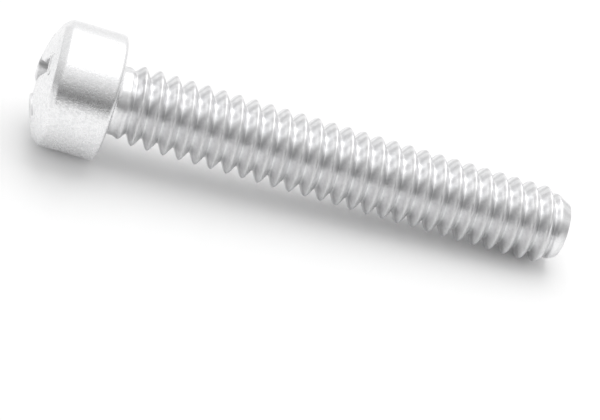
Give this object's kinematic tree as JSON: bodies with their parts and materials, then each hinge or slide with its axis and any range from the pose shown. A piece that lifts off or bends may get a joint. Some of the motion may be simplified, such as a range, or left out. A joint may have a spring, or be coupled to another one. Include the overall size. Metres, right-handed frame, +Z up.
{
  "type": "machine screw",
  "caption": "Fully threaded machine screw with a domed, straight-sided fillister head and a cross recess.",
  "frame": {"origin": "on the floor, under the middle of the lying screw's box", "axes": "+Z up, +X from the head towards the tip along the floor, +Y across the screw"},
  "size_m": [0.043, 0.0098, 0.0101],
  "materials": {
    "zinc_plate": "bright zinc plate over cold-formed steel, satin, faintly grained"
  },
  "bodies": {
    "root": {"machine_screw": "zinc_plate"}
  },
  "joints": []
}
